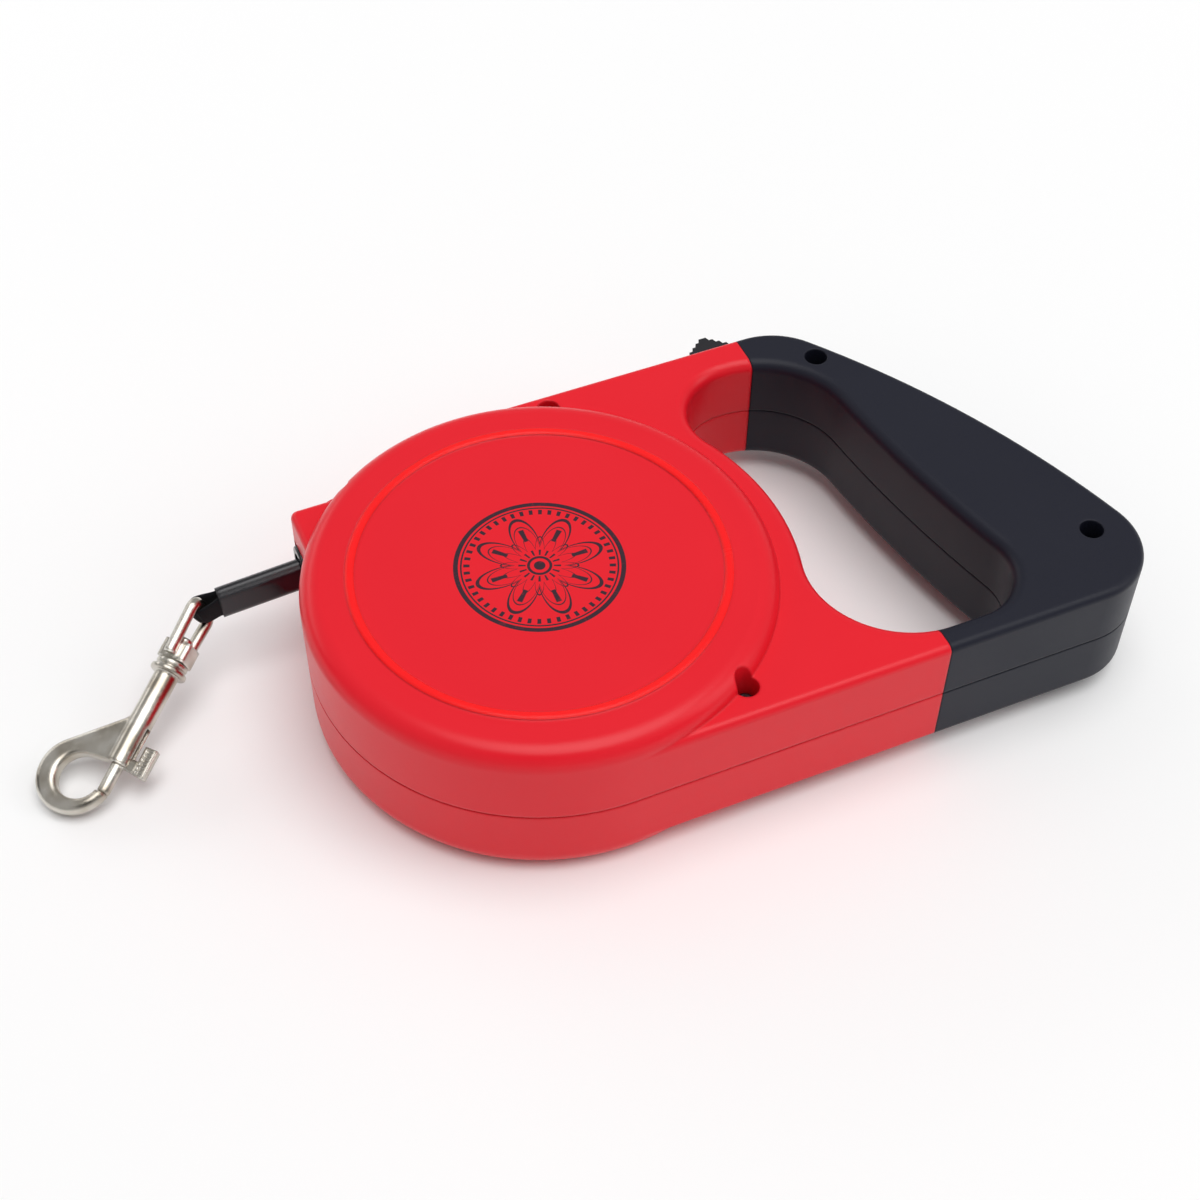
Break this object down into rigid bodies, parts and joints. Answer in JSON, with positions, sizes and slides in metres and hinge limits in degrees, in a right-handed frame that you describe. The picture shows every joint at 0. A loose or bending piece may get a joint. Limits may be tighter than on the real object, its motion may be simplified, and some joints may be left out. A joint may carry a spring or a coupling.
{
  "type": "retractable leash",
  "caption": "Hand-held retractable tape leash: flat round reel case with a closed hand grip, thumb brake button, sleeved tape end and a swivelling bolt snap.",
  "frame": {"origin": "on the reel axis, in the plane of the flat rear face that the leash lies on", "axes": "+Z along the reel axis away from the rear face, +X towards the hand grip, +Y towards the brake button; the tape leaves towards -X"},
  "size_m": [0.2312, 0.1123, 0.0385],
  "materials": {
    "red_shell": "satin moulded",
    "black_shell": "fine-grained satin",
    "black_trim": "gloss",
    "sleeve_plastic": "gloss",
    "screw_steel": "blackened",
    "polished_steel": "ground",
    "spring_steel": "blued",
    "reel_plastic": "natural moulded",
    "washer_plastic": "natural",
    "lever_plastic": "moulded",
    "button_plastic": "moulded",
    "tape": "woven",
    "nickel": "nickel plated"
  },
  "bodies": {
    "case": {"case_front": "red_shell", "case_rear": "red_shell", "handle_front": "black_shell", "handle_rear": "black_shell", "case_screws": "screw_steel", "handle_screws": "screw_steel", "axle": "polished_steel", "nozzle": "black_trim", "lever_pin": "polished_steel", "brake_spring": "spring_steel"},
    "reel": {"reel": "reel_plastic", "reel_cover": "reel_plastic", "reel_washer": "washer_plastic", "mainspring": "spring_steel", "tape_coil": "tape"},
    "lever": {"brake_lever": "lever_plastic"},
    "button": {"brake_button": "button_plastic"},
    "leash_end": {"tape_run": "tape", "tape_sleeve": "sleeve_plastic", "tape_loop": "tape"},
    "eye": {"swivel_eye": "nickel"},
    "snap": {"snap_body": "nickel", "swivel_rivet": "nickel", "snap_spring": "spring_steel"},
    "bolt": {"snap_bolt": "nickel"}
  },
  "joints": [
    {"name": "leash_pull", "type": "slide", "parent": "case", "child": "leash_end", "axis": [-1, 0, 0], "range_m": [0, 3], "stiffness_N_per_m": 1, "springref_m": -3},
    {"name": "reel_spin", "type": "hinge", "parent": "case", "child": "reel", "pos_m": [0, 0, 0.019], "axis": [0, 0, 1], "range_deg": [0, 6480]},
    {"name": "brake_press", "type": "hinge", "parent": "case", "child": "lever", "pos_m": [0.031, 0.045, 0.0196], "axis": [0, 0, -1], "range_deg": [0, 3.6], "stiffness_Nm_per_rad": 0.6, "springref_deg": -8.59, "deforming": ["brake_spring"]},
    {"name": "button_lock", "type": "slide", "parent": "lever", "child": "button", "axis": [1, 0, 0], "range_m": [0, 0.003]},
    {"name": "eye_swing", "type": "hinge", "parent": "leash_end", "child": "eye", "pos_m": [-0.06464, 0.034, 0.01732], "axis": [-0.285, -0.1194, 0.9511], "range_deg": [-140, 55]},
    {"name": "snap_swivel", "type": "hinge", "parent": "eye", "child": "snap", "pos_m": [-0.06464, 0.034, 0.01732], "axis": [-0.7051, -0.6461, -0.2924], "continuous": true},
    {"name": "bolt_slide", "type": "slide", "parent": "snap", "child": "bolt", "axis": [0.7051, 0.6461, 0.2924], "range_m": [0, 0.0062], "stiffness_N_per_m": 300, "springref_m": -0.003, "deforming": ["snap_spring"]}
  ],
  "couplings": [
    {"joint": "reel_spin", "follows": "leash_pull", "rad_per_m": 37.699}
  ]
}
